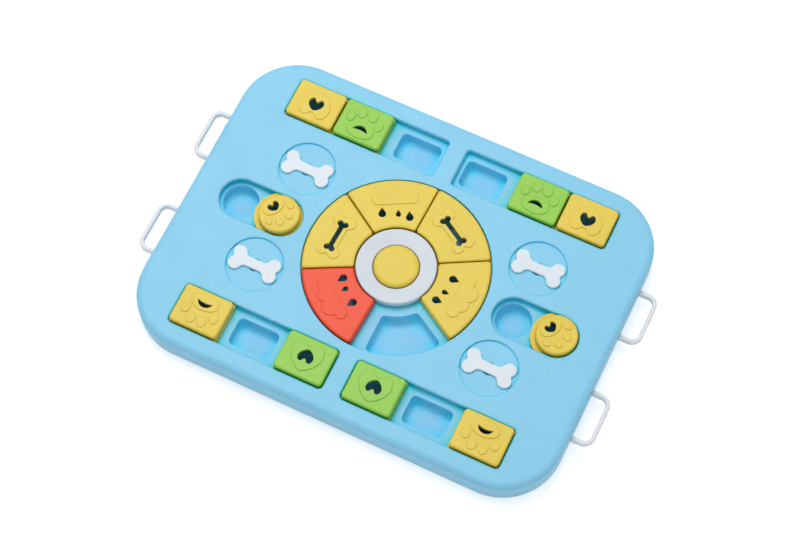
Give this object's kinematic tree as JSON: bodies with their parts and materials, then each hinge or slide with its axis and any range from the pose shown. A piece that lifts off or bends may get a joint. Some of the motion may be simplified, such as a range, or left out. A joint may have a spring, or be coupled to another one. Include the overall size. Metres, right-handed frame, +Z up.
{
  "type": "dog puzzle feeder toy",
  "caption": "Flat board puzzle feeder for dogs: sliding tiles and a wedge wheel over treat pits, turning bones, a squeaker button and drawers with pull loops.",
  "frame": {"origin": "under the middle of the board, on the surface it stands on", "axes": "+X along the board's long side towards the right drawers, +Y towards the rear row of tiles, +Z up"},
  "size_m": [0.4384, 0.298, 0.0352],
  "materials": {
    "shell_blue": "satin",
    "base_blue_grey": "satin",
    "tile_yellow": "satin",
    "tile_green": "satin",
    "wedge_red": "satin",
    "ring_white": "satin",
    "bone_white": "satin",
    "loop_clear": "milky and smooth",
    "soft_rubber": "matte",
    "steel": "zinc plated"
  },
  "bodies": {
    "board": {"base_cover": "base_blue_grey", "top_shell": "shell_blue", "tile_track_right_rear": "shell_blue", "tile_track_right_front": "shell_blue", "tile_track_left_front": "shell_blue", "tile_track_left_rear": "shell_blue", "slider_track_left": "shell_blue", "slider_track_right": "shell_blue", "wheel_track": "shell_blue", "hub_ring": "ring_white", "rubber_feet": "soft_rubber", "shell_screws": "steel", "track_screws": "steel", "hub_screws": "steel", "button_spring": "steel", "squeaker_bulb": "soft_rubber", "squeaker_reed": "ring_white"},
    "button": {"squeaker_button": "tile_yellow"},
    "heart_tile_right_rear": {"heart_tile_right_rear": "tile_yellow"},
    "heart_tile_right_front": {"heart_tile_right_front": "tile_green"},
    "heart_tile_left_front": {"heart_tile_left_front": "tile_green"},
    "heart_tile_left_rear": {"heart_tile_left_rear": "tile_yellow"},
    "paw_tile_right_rear": {"paw_tile_right_rear": "tile_green"},
    "paw_tile_right_front": {"paw_tile_right_front": "tile_yellow"},
    "paw_tile_left_front": {"paw_tile_left_front": "tile_yellow"},
    "paw_tile_left_rear": {"paw_tile_left_rear": "tile_green"},
    "round_slider_left": {"round_slider_left": "tile_yellow"},
    "round_slider_right": {"round_slider_right": "tile_yellow"},
    "cloud_wedge_right": {"cloud_wedge_right": "tile_yellow"},
    "bone_wedge_right": {"bone_wedge_right": "tile_yellow"},
    "cloud_wedge_rear": {"cloud_wedge_rear": "tile_yellow"},
    "bone_wedge_left": {"bone_wedge_left": "tile_yellow"},
    "red_cloud_wedge": {"red_cloud_wedge": "wedge_red"},
    "bone_right_rear": {"bone_lock_right_rear": "bone_white", "lock_cam_right_rear": "bone_white", "cam_screw_right_rear": "steel"},
    "treat_drawer_right_rear": {"drawer_right_rear": "shell_blue", "pull_loop_right_rear": "loop_clear"},
    "bone_right_front": {"bone_lock_right_front": "bone_white", "lock_cam_right_front": "bone_white", "cam_screw_right_front": "steel"},
    "treat_drawer_right_front": {"drawer_right_front": "shell_blue", "pull_loop_right_front": "loop_clear"},
    "bone_left_front": {"bone_lock_left_front": "bone_white", "lock_cam_left_front": "bone_white", "cam_screw_left_front": "steel"},
    "treat_drawer_left_front": {"drawer_left_front": "shell_blue", "pull_loop_left_front": "loop_clear"},
    "bone_left_rear": {"bone_lock_left_rear": "bone_white", "lock_cam_left_rear": "bone_white", "cam_screw_left_rear": "steel"},
    "treat_drawer_left_rear": {"drawer_left_rear": "shell_blue", "pull_loop_left_rear": "loop_clear"}
  },
  "joints": [
    {"name": "heart_tile_left_rear_slide", "type": "slide", "parent": "board", "child": "heart_tile_left_rear", "axis": [1, 0, 0], "range_m": [0, 0.0536]},
    {"name": "paw_tile_left_rear_slide", "type": "slide", "parent": "board", "child": "paw_tile_left_rear", "axis": [1, 0, 0], "range_m": [0, 0.0536]},
    {"name": "heart_tile_right_rear_slide", "type": "slide", "parent": "board", "child": "heart_tile_right_rear", "axis": [1, 0, 0], "range_m": [-0.0536, 0]},
    {"name": "paw_tile_right_rear_slide", "type": "slide", "parent": "board", "child": "paw_tile_right_rear", "axis": [1, 0, 0], "range_m": [-0.0536, 0]},
    {"name": "paw_tile_left_front_slide", "type": "slide", "parent": "board", "child": "paw_tile_left_front", "axis": [1, 0, 0], "range_m": [0, 0.0536]},
    {"name": "heart_tile_left_front_slide", "type": "slide", "parent": "board", "child": "heart_tile_left_front", "axis": [1, 0, 0], "range_m": [-0.0536, 0]},
    {"name": "heart_tile_right_front_slide", "type": "slide", "parent": "board", "child": "heart_tile_right_front", "axis": [1, 0, 0], "range_m": [0, 0.0536]},
    {"name": "paw_tile_right_front_slide", "type": "slide", "parent": "board", "child": "paw_tile_right_front", "axis": [1, 0, 0], "range_m": [-0.0536, 0]},
    {"name": "round_slider_left_slide", "type": "slide", "parent": "board", "child": "round_slider_left", "axis": [1, 0, 0], "range_m": [-0.0386, 0.0016]},
    {"name": "round_slider_right_slide", "type": "slide", "parent": "board", "child": "round_slider_right", "axis": [1, 0, 0], "range_m": [-0.0402, 0]},
    {"name": "cloud_wedge_right_turn", "type": "hinge", "parent": "board", "child": "cloud_wedge_right", "pos_m": [0, 0, 0.024], "axis": [0, 0, 1], "range_deg": [-62, 0]},
    {"name": "bone_wedge_right_turn", "type": "hinge", "parent": "board", "child": "bone_wedge_right", "pos_m": [0, 0, 0.024], "axis": [0, 0, 1], "range_deg": [0, 62]},
    {"name": "cloud_wedge_rear_turn", "type": "hinge", "parent": "board", "child": "cloud_wedge_rear", "pos_m": [0, 0, 0.024], "axis": [0, 0, 1], "range_deg": [0, 62]},
    {"name": "bone_wedge_left_turn", "type": "hinge", "parent": "board", "child": "bone_wedge_left", "pos_m": [0, 0, 0.024], "axis": [0, 0, 1], "range_deg": [0, 62]},
    {"name": "red_cloud_wedge_turn", "type": "hinge", "parent": "board", "child": "red_cloud_wedge", "pos_m": [0, 0, 0.024], "axis": [0, 0, 1], "range_deg": [0, 62]},
    {"name": "bone_right_rear_turn", "type": "hinge", "parent": "board", "child": "bone_right_rear", "pos_m": [0.1126, 0.0513, 0.028], "axis": [0, 0, 1], "range_deg": [0, 90]},
    {"name": "bone_right_front_turn", "type": "hinge", "parent": "board", "child": "bone_right_front", "pos_m": [0.1126, -0.0513, 0.028], "axis": [0, 0, 1], "range_deg": [0, 90]},
    {"name": "bone_left_front_turn", "type": "hinge", "parent": "board", "child": "bone_left_front", "pos_m": [-0.1126, -0.0513, 0.028], "axis": [0, 0, 1], "range_deg": [0, 90]},
    {"name": "bone_left_rear_turn", "type": "hinge", "parent": "board", "child": "bone_left_rear", "pos_m": [-0.1126, 0.0513, 0.028], "axis": [0, 0, 1], "range_deg": [0, 90]},
    {"name": "drawer_right_rear_slide", "type": "slide", "parent": "board", "child": "treat_drawer_right_rear", "axis": [1, 0, 0], "range_m": [0, 0.07]},
    {"name": "drawer_right_front_slide", "type": "slide", "parent": "board", "child": "treat_drawer_right_front", "axis": [1, 0, 0], "range_m": [0, 0.07]},
    {"name": "drawer_left_front_slide", "type": "slide", "parent": "board", "child": "treat_drawer_left_front", "axis": [-1, 0, 0], "range_m": [0, 0.07]},
    {"name": "drawer_left_rear_slide", "type": "slide", "parent": "board", "child": "treat_drawer_left_rear", "axis": [-1, 0, 0], "range_m": [0, 0.07]},
    {"name": "button_press", "type": "slide", "parent": "board", "child": "button", "axis": [0, 0, -1], "range_m": [0, 0.003], "stiffness_N_per_m": 450, "springref_m": -0.001, "deforming": ["button_spring", "squeaker_bulb"]}
  ],
  "couplings": [
    {"joint": "paw_tile_left_rear_slide", "follows": "heart_tile_left_rear_slide", "ratio": 1},
    {"joint": "paw_tile_right_rear_slide", "follows": "heart_tile_right_rear_slide", "ratio": 1},
    {"joint": "cloud_wedge_rear_turn", "follows": "bone_wedge_right_turn", "ratio": 1},
    {"joint": "bone_wedge_left_turn", "follows": "bone_wedge_right_turn", "ratio": 1},
    {"joint": "red_cloud_wedge_turn", "follows": "bone_wedge_right_turn", "ratio": 1}
  ]
}
